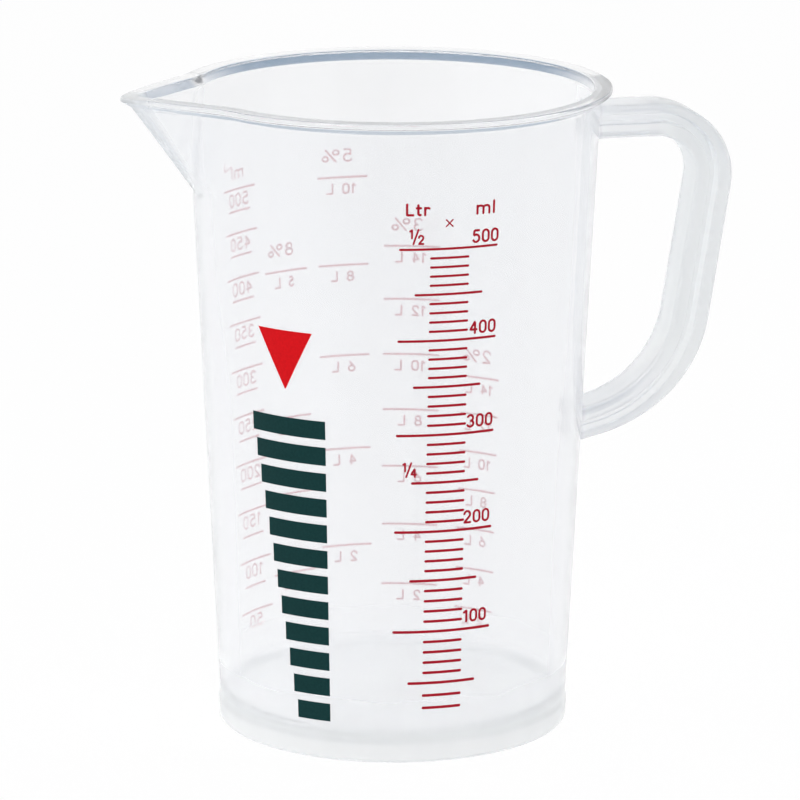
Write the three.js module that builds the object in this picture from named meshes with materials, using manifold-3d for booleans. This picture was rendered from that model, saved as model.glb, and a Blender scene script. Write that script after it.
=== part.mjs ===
// Measuring jug of half a litre, moulded in one piece: a tapered cup with a foot
// skirt, a rolled rim, a V-shaped pouring beak towards -X and a closed handle
// towards +X. Millimetres, +Z up, standing on Z = 0, middle of its box at X = Y = 0.

import * as THREE from 'three';
import * as BufferGeometryUtils from 'three/addons/utils/BufferGeometryUtils.js';
import Module from 'manifold-3d';

// Cup
const height = 138.3;           // foot to the top of the rim
const topRadius = 43.75;        // outside of the wall at the rim
const baseRadius = 37.1;        // outside of the wall at the foot
const wall = 1.45;              // wall thickness
const floorHeight = 5.6;        // inside floor above the table
const floorThickness = 1.6;
const floorFillet = 3;          // inside corner between the wall and the floor
const footProud = 0.35;         // foot band beyond the wall
const footBand = 4;             // height of the foot band
const footSkirt = 1.7;          // thickness of the ring that the jug stands on
const footEdge = 0.5;           // rounding of the foot's outer edge
const draft = 0.4;              // widening of the hollow under the floor, towards its mouth

// Rim
const rimOverhang = 2.45;       // flange beyond the wall
const rimThickness = 2.1;
const rimRound = 1;             // rounding of the flange's outer edge
const lipRound = 0.45;          // rounding of the rim's inner edge

// Pouring beak
const beakDepth = 21.9;         // top of the rim down to where the keel leaves the wall
const beakAngle = 35.2;         // lean of the keel from the vertical, degrees
const beakSpread = 0.7;         // opening, as a share of the tangent from the tip to the wall
const noseRound = 2.6;          // bluntness of the tip
const bluntShare = 0.3;         // bluntness where the beak is still shallow, of its depth
const beakFillet = 0.8;         // softness of the crease between beak and wall
const beakFlange = 2;           // flange beyond the beak at its tip
const beakDroop = 0.6;          // fall of the tip below the rim

// Handle, an I-section bent round one closed loop with the wall
const handleWidth = 10.5;
const innerStrap = 3.1;         // thickness of the strap next to the fingers
const channel = 1.9;            // groove between the straps
const outerStrap = 2;           // thickness of the outer strap at the arms
const gripSwell = 1.1;          // what the outer strap gains along the grip
const web = 3.2;                // thickness left between the two grooves
const strapRound = 0.8;         // rounding of the straps' edges
const handleDrop = 9.2;         // top of the rim down to the middle of the upper arm
const handleReach = 68.7;       // middle of the grip at its widest, from the cup's axis
const gripLean = 8.9;           // degrees that the grip leans in towards the foot
const upperBend = 12.2;         // radius of the upper bend, at the middle of the section
const lowerBend = 27;           // radius of the lower bend
const lowerEnd = 64;            // height where the lower bend ends
const lowerSlope = 12;          // fall of the lower arm towards the wall, degrees
const rootSink = 3;             // how far the handle's ends run in before they are trimmed
const rootFlare = 0.7;          // widening where the handle meets the wall
const rootLength = 3;           // length of that widening

// Fineness
const beakEdge = 42;            // degrees from the beak's middle to the last of its columns
const beakSteps = 15;           // columns on each side of the beak
const beakCrowding = 1.5;       // how much closer they stand towards its middle
const cupStep = 5.2;            // degrees between the other columns
const beakLevels = 9;
const levelCrowding = 1.3;      // how much closer the levels stand towards the beak's start
const beakLead = 1;             // plain level under the beak's start
const middleRing = 0.5;         // ring between the middle and the edge of a flat floor, as a share
const roundSteps = 3;
const bendStep = 9;             // degrees between sections of the handle's bends
const rootSteps = 3;            // sections along the widening at the wall
const gripSteps = 2;            // sections along the straight grip

const plastic = new THREE.MeshStandardMaterial({
  name: 'frosted_polypropylene',
  color: 0xeceef0,
  roughness: 0.32,
  metalness: 0,
  transparent: true,
  opacity: 0.4,
});

const radians = THREE.MathUtils.degToRad;
const quarterTurn = 90;         // degrees
const rimUnderside = height - rimThickness;
const beakStart = height - beakDepth;
const handleTop = height - handleDrop;

// Outside radius of the plain wall at a height.
function wallRadius(z) {
  return baseRadius + (topRadius - baseRadius) * z / height;
}

// Distance of the keel from the cup's axis at a height.
function keelReach(z) {
  return wallRadius(beakStart) + (z - beakStart) * Math.tan(radians(beakAngle));
}

// Larger of two lengths, blended over a width so that no sharp crease is left.
function softMax(a, b, width) {
  const near = Math.max(width - Math.abs(a - b), 0) / width;
  return Math.max(a, b) + near * near * width / 4;
}

// Outside radius of wall and beak at an angle from the beak's middle. In plan the
// beak is a hyperbola: its vertex is the keel and it passes through both creases.
// Past a crease its height over the wall is mirrored to below it, for a smooth blend.
function outlineRadius(angle, z) {
  const radius = wallRadius(z);
  const rise = keelReach(z) - radius;
  if (rise <= 0) return radius;
  const crease = beakSpread * Math.acos(radius / (radius + rise));
  if (Math.abs(angle) >= 2 * crease) return radius;
  const blunt = Math.min(noseRound, bluntShare * rise);
  const focus = radius + rise + blunt;
  const run = Math.sqrt((focus - radius * Math.cos(crease)) ** 2 - blunt ** 2);
  const slope = radius * Math.sin(crease) / run;
  const heightOver = (turn) => {
    const along = Math.cos(turn);
    const across = Math.sin(turn) / slope;
    const square = (focus * along) ** 2 - (along ** 2 - across ** 2) * (focus ** 2 - blunt ** 2);
    return (focus ** 2 - blunt ** 2) / (focus * along + Math.sqrt(square)) - radius;
  };
  const past = Math.abs(angle) > crease;
  const over = past ? -heightOver(2 * crease - Math.abs(angle)) : heightOver(angle);
  return radius + softMax(0, over, Math.min(beakFillet, rise / 2));
}

// Angles of the columns, from one side of the back round to the other, dense at the beak.
function columnAngles() {
  const edge = radians(beakEdge);
  const half = [];
  for (let i = 0; i <= beakSteps; i += 1) half.push(edge * (i / beakSteps) ** beakCrowding);
  const rest = Math.round((Math.PI - edge) / radians(cupStep));
  for (let i = 1; i <= rest; i += 1) half.push(edge + (Math.PI - edge) * i / rest);
  const mirrored = half.slice(1, -1).reverse().map((angle) => -angle);
  return [...half, ...mirrored];
}

// One closed ring: the outline at a height, moved out or in by an offset square to it,
// and set down at another height.
function outlineRing(angles, level, offset, z) {
  const tiny = 1e-4;
  return angles.map((angle) => {
    const radius = outlineRadius(angle, level);
    const turn = (outlineRadius(angle + tiny, level) - outlineRadius(angle - tiny, level)) / (2 * tiny);
    const climb = (outlineRadius(angle, level) - outlineRadius(angle, level - tiny)) / tiny;
    const share = Math.max(radius - wallRadius(level), 0) / (keelReach(height) - wallRadius(height));
    const step = typeof offset === 'function' ? offset(share, climb) : offset;
    const length = Math.hypot(radius, turn);
    const out = radius + step * radius / length;
    const side = -step * turn / length;
    const x = out * Math.cos(angle) - side * Math.sin(angle);
    const y = out * Math.sin(angle) + side * Math.cos(angle);
    const far = (Math.hypot(x, y) - topRadius - rimOverhang) / (keelReach(height) - topRadius);
    return new THREE.Vector3(-x, -y, z - beakDroop * Math.max(far, 0) ** 2);
  });
}

// A plain round ring.
function roundRing(angles, radius, z) {
  return angles.map((angle) => new THREE.Vector3(-radius * Math.cos(angle), -radius * Math.sin(angle), z));
}

// Points of a quarter circle as [distance out, height], for rounded edges.
function quarter(out, z, radius, from, steps) {
  return Array.from({ length: steps + 1 }, (_, i) => {
    const turn = radians(from + quarterTurn * i / steps);
    return [out + radius * Math.cos(turn), z + radius * Math.sin(turn)];
  });
}

// The cup's outer surface as rings: from the middle of its underside out, up the
// outside and round the rim's flange.
function outerRings(angles) {
  const rings = [];
  const underside = floorHeight - floorThickness;
  const footRadius = baseRadius + footProud;
  const hollow = footRadius - footSkirt;
  rings.push(roundRing(angles, hollow * middleRing, underside));
  rings.push(roundRing(angles, hollow - draft, underside));
  rings.push(roundRing(angles, hollow, 0));
  for (const [r, z] of quarter(footRadius - footEdge, footEdge, footEdge, -quarterTurn, roundSteps)) {
    rings.push(roundRing(angles, r, z));
  }
  const bandRadius = wallRadius(footBand) + footProud;
  rings.push(roundRing(angles, bandRadius, footBand));
  rings.push(roundRing(angles, wallRadius(footBand + footProud), footBand + footProud));
  rings.push(outlineRing(angles, beakStart - beakLead, 0, beakStart - beakLead));
  for (let i = 0; i <= beakLevels; i += 1) {
    const z = beakStart + (rimUnderside - beakStart) * (i / beakLevels) ** levelCrowding;
    rings.push(outlineRing(angles, z, 0, z));
  }
  const flange = (inset) => (share) => rimOverhang + (beakFlange - rimOverhang) * share - inset;
  const lower = quarter(0, rimUnderside + rimRound, rimRound, -quarterTurn, roundSteps);
  const upper = quarter(0, height - rimRound, rimRound, 0, roundSteps);
  for (const [inset, z] of [...lower, ...upper]) {
    rings.push(outlineRing(angles, rimUnderside, flange(rimRound - inset), z));
  }
  return rings;
}

// The cup's inner surface as rings, a given thickness inside the outline: from the
// rim's inner edge down to the middle of the floor.
function innerRings(angles, thickness) {
  const rings = [];
  const inward = (extra) => (share, climb) => extra - thickness * Math.hypot(1, climb);
  for (const [back, z] of quarter(0, height - lipRound, lipRound, quarterTurn, roundSteps)) {
    rings.push(outlineRing(angles, rimUnderside, inward(lipRound + back), z));
  }
  for (let i = beakLevels; i >= 0; i -= 1) {
    const z = beakStart + (rimUnderside - lipRound - beakStart) * (i / beakLevels) ** levelCrowding;
    rings.push(outlineRing(angles, z, inward(0), z));
  }
  rings.push(outlineRing(angles, beakStart - beakLead, inward(0), beakStart - beakLead));
  const corner = floorHeight + floorFillet;
  const cornerRadius = wallRadius(corner) - thickness;
  const fillet = quarter(cornerRadius - floorFillet, corner, floorFillet, -quarterTurn, roundSteps);
  for (const [r, z] of fillet.reverse()) rings.push(roundRing(angles, r, z));
  rings.push(roundRing(angles, cornerRadius * middleRing, floorHeight));
  return rings;
}

// Joins rings of equal length into one closed skin. Each end closes on a middle point
// or, where caps is given, on the triangles of its flat outline.
function skin(rings, caps) {
  const count = rings[0].length;
  const points = rings.flat();
  const index = [];
  for (let j = 0; j + 1 < rings.length; j += 1) {
    for (let i = 0; i < count; i += 1) {
      const a = j * count + i;
      const b = j * count + (i + 1) % count;
      index.push(a, b, b + count, a, b + count, a + count);
    }
  }
  const last = (rings.length - 1) * count;
  if (caps) {
    for (const [a, b, c] of caps) {
      index.push(c, b, a);
      index.push(last + a, last + b, last + c);
    }
  } else {
    const start = points.length;
    points.push(new THREE.Vector3(0, 0, rings[0][0].z));
    points.push(new THREE.Vector3(0, 0, rings.at(-1)[0].z));
    for (let i = 0; i < count; i += 1) {
      const next = (i + 1) % count;
      index.push(start, next, i);
      index.push(start + 1, last + i, last + next);
    }
  }
  const geometry = new THREE.BufferGeometry().setFromPoints(points);
  geometry.setIndex(index);
  return geometry;
}

// Outline of the handle's section: x across the handle, y outwards from its middle.
function sectionOutline(swell) {
  const half = handleWidth / 2;
  const inner = -(innerStrap + channel + outerStrap) / 2;
  const step = inner + innerStrap;
  const ledge = step + channel;
  const outer = ledge + outerStrap + swell;
  const r = strapRound;
  const side = [];
  const round = (x, y, radius, from, to) => {
    for (let i = 0; i <= roundSteps; i += 1) {
      const turn = radians(from + (to - from) * i / roundSteps);
      side.push(new THREE.Vector2(x + radius * Math.cos(turn), y + radius * Math.sin(turn)));
    }
  };
  round(half - r, inner + r, r, -quarterTurn, 0);
  side.push(new THREE.Vector2(half, step));
  side.push(new THREE.Vector2(web / 2, step));
  side.push(new THREE.Vector2(web / 2, ledge));
  side.push(new THREE.Vector2(half, ledge));
  round(half - r, outer - r, r, 0, quarterTurn);
  const other = side.map((point) => new THREE.Vector2(-point.x, point.y)).reverse();
  return [...side, ...other];
}

// The handle's middle line as stations: place, heading and how much the grip swells.
function handleStations() {
  const stations = [];
  let x = wallRadius(handleTop) - rootSink;
  let z = handleTop;
  let heading = 0;                            // degrees below +X
  const mark = (swell) => stations.push({ x, z, heading, swell });
  const go = (length) => {
    x += length * Math.cos(radians(heading));
    z -= length * Math.sin(radians(heading));
  };
  const bend = (radius, turn, swellAt) => {
    const steps = Math.max(Math.ceil(turn / bendStep), 1);
    for (let i = 1; i <= steps; i += 1) {
      heading += turn / steps / 2;
      go(2 * radius * Math.sin(radians(turn / steps / 2)));
      heading += turn / steps / 2;
      mark(swellAt(Math.sin(i / steps * Math.PI / 2) ** 2));
    }
  };
  const run = (length, steps, swell) => {
    for (let i = 0; i < steps; i += 1) {
      go(length / steps);
      mark(swell);
    }
  };
  const lowerTurn = quarterTurn - gripLean - lowerSlope;
  const lowerDrop = lowerBend * (Math.sin(radians(gripLean + lowerTurn)) - Math.sin(radians(gripLean)));
  mark(0);
  run(rootSink, 1, 0);
  run(rootLength, rootSteps, 0);
  run(handleReach - upperBend - x, 1, 0);
  bend(upperBend, quarterTurn + gripLean, (share) => share);
  run((z - lowerEnd - lowerDrop) / Math.cos(radians(gripLean)), gripSteps, 1);
  bend(lowerBend, lowerTurn, (share) => 1 - share);
  const tail = (x - wallRadius(lowerEnd) + rootSink) / Math.cos(radians(lowerSlope));
  run(tail - rootLength - rootSink, 1, 0);
  run(rootLength, rootSteps, 0);
  run(rootSink, 1, 0);
  return stations;
}

// The handle as one skin round its stations, a little wider where it meets the wall.
function handleSkin() {
  const stations = handleStations();
  const first = stations[0];
  const end = stations.at(-1);
  const rings = stations.map((station) => {
    const toRoot = Math.min(
      Math.hypot(station.x - first.x, station.z - first.z),
      Math.hypot(station.x - end.x, station.z - end.z),
    );
    const near = Math.min(Math.max(1 - (toRoot - rootSink) / rootLength, 0), 1);
    const grow = 1 + 2 * rootFlare / handleWidth * near ** 2;
    const turn = radians(station.heading);
    return sectionOutline(gripSwell * station.swell).map((point) => new THREE.Vector3(
      station.x + grow * point.y * Math.sin(turn),
      grow * point.x,
      station.z + grow * point.y * Math.cos(turn),
    ));
  });
  const caps = THREE.ShapeUtils.triangulateShape(sectionOutline(0), []);
  return skin(rings, caps);
}

const wasm = await Module();
wasm.setup();

// A closed geometry as a solid for joining and cutting.
function toSolid(geometry) {
  const merged = BufferGeometryUtils.mergeVertices(geometry, 1e-4);
  const mesh = new wasm.Mesh({
    numProp: 3,
    vertProperties: new Float32Array(merged.attributes.position.array),
    triVerts: new Uint32Array(merged.index.array),
  });
  return new wasm.Manifold(mesh);
}

// A solid back as a geometry.
function toGeometry(solid) {
  const mesh = solid.getMesh();
  const geometry = new THREE.BufferGeometry();
  geometry.setAttribute('position', new THREE.BufferAttribute(new Float32Array(mesh.vertProperties), 3));
  geometry.setIndex(new THREE.BufferAttribute(new Uint32Array(mesh.triVerts), 1));
  geometry.computeVertexNormals();
  return geometry;
}

const angles = columnAngles();
const cup = toSolid(skin([...outerRings(angles), ...innerRings(angles, wall)]));

// The handle's ends are trimmed half way into the wall, so that none shows inside.
const hollow = toSolid(skin(innerRings(angles, wall / 2).reverse()));
const handle = toSolid(handleSkin()).subtract(hollow);
const jug = new THREE.Mesh(toGeometry(cup.add(handle)), plastic);
jug.name = 'jug';

// The jug is moved along X so that the middle of its box stands over the origin.
jug.geometry.computeBoundingBox();
const box = jug.geometry.boundingBox;
jug.position.x = -(box.min.x + box.max.x) / 2;

const model = new THREE.Group();
model.name = 'measuring_jug';
model.add(jug);

export default model;
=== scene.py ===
"""Dressed model of a clear-frosted half-litre measuring jug in a white studio.

The jug is one polypropylene moulding: a tapered cup with a foot ring, a rolled rim, a pouring
beak towards -X and an I-section handle towards +X. Dark red screen ink on the outside of the
wall carries a ruled scale on the front and mixing scales on the back. Lengths are millimetres
and angles degrees until a mesh is filled, where they turn into metres of the row frame.
"""

import logging
from dataclasses import dataclass, field
from enum import Enum
from typing import Callable

import bpy
import numpy as np
from mathutils import Matrix, Vector


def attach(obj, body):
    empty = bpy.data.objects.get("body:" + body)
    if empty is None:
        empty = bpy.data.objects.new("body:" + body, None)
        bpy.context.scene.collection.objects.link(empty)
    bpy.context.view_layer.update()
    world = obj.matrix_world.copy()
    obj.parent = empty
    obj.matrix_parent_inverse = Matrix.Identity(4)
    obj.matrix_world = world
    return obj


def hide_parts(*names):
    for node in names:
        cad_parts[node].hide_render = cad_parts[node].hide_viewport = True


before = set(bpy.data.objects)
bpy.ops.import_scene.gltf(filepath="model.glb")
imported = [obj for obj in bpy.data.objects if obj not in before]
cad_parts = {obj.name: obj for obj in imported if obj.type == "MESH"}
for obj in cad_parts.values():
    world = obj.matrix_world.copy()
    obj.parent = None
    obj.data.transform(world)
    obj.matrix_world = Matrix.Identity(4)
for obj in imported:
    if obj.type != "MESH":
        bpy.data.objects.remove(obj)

LOG = logging.getLogger("jug")
METRES = 0.001                # one millimetre in metres
AXIS_X = -7.2851              # the cup's axis in the row frame
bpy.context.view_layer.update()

Array = np.ndarray


def row(*parts: float) -> Array:
    """Returns numbers as one float array, so that a whole row can be worked out at once."""
    return np.array(parts, float)


def turn(degrees: float | Array) -> float | Array:
    """Returns degrees as radians."""
    return np.radians(degrees)


def spaced(start: float, end: float, count: int, crowding: float = 1.0) -> Array:
    """Numbers from start to end, closer together near the start where crowding is over 1.

    Args:
        start: First number.
        end: Last number.
        count: How many numbers.
        crowding: Power that the even steps from 0 to 1 are raised to.

    Returns:
        start + (end - start) * s ** crowding for count even steps s from 0 to 1.
    """
    return start + (end - start) * np.linspace(0.0, 1.0, count) ** crowding


def quarter(out: float, height: float, radius: float, first: float, steps: int,
            sweep: float = 90.0) -> Array:
    """Quarter circle, or another arc, of a rounded edge.

    Args:
        out: Distance of the circle's middle from the axis.
        height: Height of the circle's middle.
        radius: The circle's radius.
        first: Angle that the quarter starts at, counted up from straight out.
        steps: Number of chords.
        sweep: How far the arc turns.

    Returns:
        Rows of distance out and height: middle + radius * (cos a, sin a), for steps + 1 even
        angles a from first to first + sweep.
    """
    angle = turn(spaced(first, first + sweep, steps + 1))
    return row(out, height) + radius * np.stack([np.cos(angle), np.sin(angle)], -1)


def soft_step(value: Array, start: float, end: float) -> Array:
    """Share that runs straight from 0 at start to 1 at end, and stays there."""
    return np.clip((value - start) / (end - start), 0.0, 1.0)


def ring_quads(rings: int, count: int, closed: bool = True) -> Array:
    """Quads between neighbouring rings of points.

    Args:
        rings: Number of rings.
        count: Points on each ring.
        closed: Whether the last point of a ring joins the first.

    Returns:
        Corner numbers: point i of ring j, then i + 1, then the same two on ring j + 1.
    """
    columns = count if closed else count - 1
    j, i = np.meshgrid(np.arange(rings - 1), np.arange(columns), indexing="ij")
    here, beside = j * count + i, j * count + (i + 1) % count
    return np.stack([here, beside, beside + count, here + count], -1).reshape(-1, 4)


def fill(name: str, points: Array, faces: list[Array], smooth: float = 35.0) -> bpy.types.Object:
    """Makes an object from points in millimetres measured from the cup's axis.

    Args:
        name: Name of the object.
        points: One row of x, y, z for each point.
        faces: Arrays of corner numbers, one array for each number of corners.
        smooth: Edges that turn further than this stay sharp, degrees.

    Returns:
        The object, at the origin, with its place in its mesh.
    """
    mesh = bpy.data.meshes.new(name)
    place = (points + row(AXIS_X, 0.0, 0.0)) * METRES
    mesh.from_pydata(place.tolist(), [], [corner for block in faces for corner in block.tolist()])
    mesh.validate()
    mesh.shade_smooth()
    mesh.set_sharp_from_angle(angle=turn(smooth))
    piece = bpy.data.objects.new(name, mesh)
    bpy.context.scene.collection.objects.link(piece)
    return piece


def closed_skin(name: str, rings: Array, smooth: float = 35.0) -> bpy.types.Object:
    """Closes a stack of rings into one skin, with a middle point at each end.

    Args:
        name: Name of the object.
        rings: Array of rings x points x 3.
        smooth: Edges that turn further than this stay sharp, degrees.

    Returns:
        The closed object. Its faces point outwards where the rings turn left-handed on the way up.
    """
    count, size = rings.shape[0], rings.shape[1]
    last = (count - 1) * size
    points = np.vstack([rings.reshape(-1, 3), rings[0].mean(0), rings[-1].mean(0)])
    i = np.arange(size)
    after = (i + 1) % size
    start_fan = np.stack([np.full(size, count * size), after, i], -1)
    end_fan = np.stack([np.full(size, count * size + 1), last + i, last + after], -1)
    return fill(name, points, [ring_quads(count, size), start_fan, end_fan], smooth)


@dataclass
class Cup:
    """The cup with its foot, rim flange and pouring beak, as rings round its axis."""

    height: float = 138.3
    top_radius: float = 43.75
    base_radius: float = 37.1
    wall: float = 1.45
    floor_height: float = 5.6
    floor_thickness: float = 1.6
    floor_fillet: float = 3.0
    foot_proud: float = 0.35
    foot_band: float = 4.0
    foot_skirt: float = 1.7
    foot_edge: float = 1.1
    foot_inner_edge: float = 0.3
    band_slope: float = 1.4       # height over which the foot band dies into the wall
    draft: float = 0.4
    rim_overhang: float = 2.45
    rim_thickness: float = 2.1
    rim_round: float = 0.5
    bevel_width: float = 1.9      # the rim's underside slopes up over this width
    bevel_foot: float = 0.4       # how far the slope runs down onto the wall
    bevel_tilt: float = 58.0
    bevel_round: float = 0.4
    lip_round: float = 0.45
    beak_depth: float = 21.9
    beak_angle: float = 35.2
    beak_spread: float = 0.7
    nose_round: float = 2.6
    blunt_share: float = 0.3
    beak_fillet: float = 0.7
    beak_flange: float = 2.0
    beak_droop: float = 0.6
    gate_radius: float = 1.6      # mark of the mould's gate under the floor
    gate_height: float = 0.35
    nook_round: float = 0.8       # corner between the underside and the foot's skirt
    nook_steps: int = 5
    bevel_steps: int = 6
    round_steps: int = 8
    wall_levels: int = 14
    beak_levels: int = 34
    beak_edge: float = 46.0       # the columns stand closer within this angle of the keel
    angles: Array = field(init=False)

    def __post_init__(self) -> None:
        """Works out the heights that the others hang from, and the columns."""
        self.rim_underside = self.height - self.rim_thickness
        self.beak_start = self.height - self.beak_depth
        edge = turn(self.beak_edge)
        dense = spaced(0.0, edge, 61, 1.25)
        rest = spaced(edge, np.pi, 91)[1:]
        half = np.concatenate([dense, rest])
        self.angles = np.concatenate([half, -half[1:-1][::-1]])

    def wall_radius(self, z: float | Array) -> float | Array:
        """Outside radius of the plain wall: a straight taper from the foot to the rim."""
        return self.base_radius + (self.top_radius - self.base_radius) * z / self.height

    def keel_reach(self, z: float | Array) -> float | Array:
        """Distance of the beak's keel from the axis: a straight line that leans outwards."""
        lean = np.tan(turn(self.beak_angle))
        return self.wall_radius(self.beak_start) + (z - self.beak_start) * lean

    def outline(self, angle: Array, z: Array) -> Array:
        """Outside radius of wall and beak.

        In plan the beak is a hyperbola with its vertex at the keel, through both creases where
        it meets the wall's circle. Past a crease its height over the circle is mirrored to
        below it, and the larger of circle and hyperbola is taken with a soft blend.

        Args:
            angle: Angle from the beak's middle, radians.
            z: Height.

        Returns:
            The radius, of the shape that angle and z broadcast to.
        """
        radius = self.wall_radius(z)
        rise = np.maximum(self.keel_reach(z) - radius, 1e-6)
        crease = self.beak_spread * np.arccos(radius / (radius + rise))
        blunt = np.minimum(self.nose_round, self.blunt_share * rise)
        focus = radius + rise + blunt
        run = np.sqrt((focus - radius * np.cos(crease)) ** 2 - blunt ** 2)
        slope = radius * np.sin(crease) / run
        far = np.abs(angle)
        inside = far <= crease
        aim = np.clip(np.where(inside, far, 2.0 * crease - far), 0.0, None)
        along, across = np.cos(aim), np.sin(aim) / slope
        square = (focus * along) ** 2 - (along ** 2 - across ** 2) * (focus ** 2 - blunt ** 2)
        vertex = focus ** 2 - blunt ** 2
        over = vertex / (focus * along + np.sqrt(np.maximum(square, 0.0))) - radius
        over = np.where(inside, over, -over)
        width = np.minimum(self.beak_fillet, rise / 2.0)
        near = np.maximum(width - np.abs(over), 0.0) / width
        blended = np.maximum(over, 0.0) + near ** 2 * width / 4.0
        plain = (far >= 2.0 * crease) | (rise <= 1e-4)
        return radius + np.where(plain, 0.0, blended)

    def moved(self, level: Array, offset: Callable[[Array, Array], Array], z: Array) -> Array:
        """Rings of the outline, moved square to it in plan and set down at other heights.

        Args:
            level: Height that each ring's outline is taken at.
            offset: Gives the move outwards from the beak's share and the wall's climb.
            z: Height that each ring is set down at, apart from the droop of the beak.

        Returns:
            Array of rings x points x 3.
        """
        tiny = 1e-4
        angle, level, z = self.angles[None, :], level[:, None], z[:, None]
        radius = self.outline(angle, level)
        swing = (self.outline(angle + tiny, level) - self.outline(angle - tiny, level)) / (2 * tiny)
        climb = (radius - self.outline(angle, level - tiny)) / tiny
        reach = self.keel_reach(self.height)
        over = radius - self.wall_radius(level)
        share = np.maximum(over / (reach - self.wall_radius(self.height)), 0.0)
        step = offset(share, climb)
        length = np.hypot(radius, swing)
        out, side = radius + step * radius / length, -step * swing / length
        x = out * np.cos(angle) - side * np.sin(angle)
        y = out * np.sin(angle) + side * np.cos(angle)
        far = (np.hypot(x, y) - self.top_radius - self.rim_overhang) / (reach - self.top_radius)
        drop = self.beak_droop * np.maximum(far, 0.0) ** 2
        return np.stack([-x, -y, np.broadcast_to(z, x.shape) - drop], -1)

    def round_rings(self, radii: Array, heights: Array) -> Array:
        """Plain circles: (-r cos a, -r sin a, z) for every column's angle a."""
        x = -radii[:, None] * np.cos(self.angles)
        y = -radii[:, None] * np.sin(self.angles)
        return np.stack([x, y, np.broadcast_to(heights[:, None], x.shape)], -1)

    def foot(self) -> Array:
        """Rings of the underside and foot: the gate mark, the hollow, the ring and its band."""
        under = self.floor_height - self.floor_thickness
        foot_radius = self.base_radius + self.foot_proud
        hollow = foot_radius - self.foot_skirt
        gate, nub = self.gate_radius, under - self.gate_height
        nook, small, edge = self.nook_round, self.foot_inner_edge, self.foot_edge
        band_top = self.foot_band + self.band_slope
        profile = np.concatenate([
            [[gate * 0.5, nub], [gate * 0.9, nub], [gate, under - self.gate_height * 0.7],
             [gate + 0.12, under], [gate * 3.0, under], [hollow * 0.5, under]],
            quarter(hollow - self.draft - nook, under - nook, nook, 0.0, self.nook_steps)[::-1],
            quarter(hollow + small, small, -small, 0.0, self.nook_steps),
            quarter(foot_radius - edge, edge, edge, -90.0, self.round_steps),
            [[self.wall_radius(self.foot_band) + self.foot_proud, self.foot_band],
             [self.wall_radius(band_top), band_top]],
        ])
        return self.round_rings(*profile.T)

    def outside(self) -> Array:
        """Rings of the outer surface, from the middle of the underside to the rim's flat top."""
        band_top = self.foot_band + self.band_slope
        plain = spaced(band_top + 1.0, self.beak_start - 1.0, self.wall_levels)
        crest = self.rim_underside - self.bevel_foot
        levels = np.concatenate([plain, spaced(self.beak_start, crest, self.beak_levels, 1.25)])
        wall = self.moved(levels, lambda share, climb: 0.0 * share, levels)
        small, tilt, top = self.bevel_round, turn(self.bevel_tilt), self.rim_round
        run = self.bevel_width - small * (1.0 - np.cos(tilt))
        rise = run / np.tan(tilt) + small * np.sin(tilt)
        inset, z = np.concatenate([
            [[-self.bevel_width, self.rim_underside]],
            quarter(-small, self.rim_underside + rise, small, -self.bevel_tilt,
                    self.bevel_steps, self.bevel_tilt),
            quarter(-top, self.height - top, top, 0.0, self.round_steps),
        ]).T
        lengthen = self.beak_flange - self.rim_overhang
        flange = self.moved(
            np.full(z.size, self.rim_underside),
            lambda share, climb: self.rim_overhang + lengthen * share + inset[:, None],
            z,
        )
        return np.concatenate([self.foot(), wall, flange])

    def inside(self, thickness: float) -> Array:
        """Rings of the inner surface, from the rim's lip down to the middle of the floor.

        Args:
            thickness: How far the surface lies in from the outline, square to the wall.

        Returns:
            Array of rings x points x 3.
        """
        lip = quarter(0.0, self.height - self.lip_round, self.lip_round, 90.0, self.round_steps)
        back = self.lip_round + lip[:, :1]
        lip_rings = self.moved(
            np.full(len(lip), self.rim_underside),
            lambda share, climb: back - thickness * np.hypot(1.0, climb),
            lip[:, 1],
        )
        top = self.rim_underside - self.lip_round
        low = self.floor_height + self.floor_fillet
        levels = np.concatenate([
            spaced(self.beak_start, top, self.beak_levels, 1.25)[::-1],
            spaced(self.beak_start - 1.0, low + 1.0, self.wall_levels),
        ])
        wall = self.moved(levels, lambda share, climb: -thickness * np.hypot(1.0, climb), levels)
        corner = self.wall_radius(low) - thickness - self.floor_fillet
        profile = np.concatenate([
            quarter(corner, low, self.floor_fillet, -90.0, self.round_steps)[::-1],
            [[corner * 0.6, self.floor_height], [corner * 0.2, self.floor_height]],
        ])
        return np.concatenate([lip_rings, wall, self.round_rings(*profile.T)])

    def build(self, name: str) -> bpy.types.Object:
        """Returns the closed cup."""
        return closed_skin(name, np.concatenate([self.outside(), self.inside(self.wall)]))

    def hollow(self, name: str) -> bpy.types.Object:
        """Returns the space inside the cup, out to half way into the wall."""
        return closed_skin(name, self.inside(self.wall / 2.0)[::-1])


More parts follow.
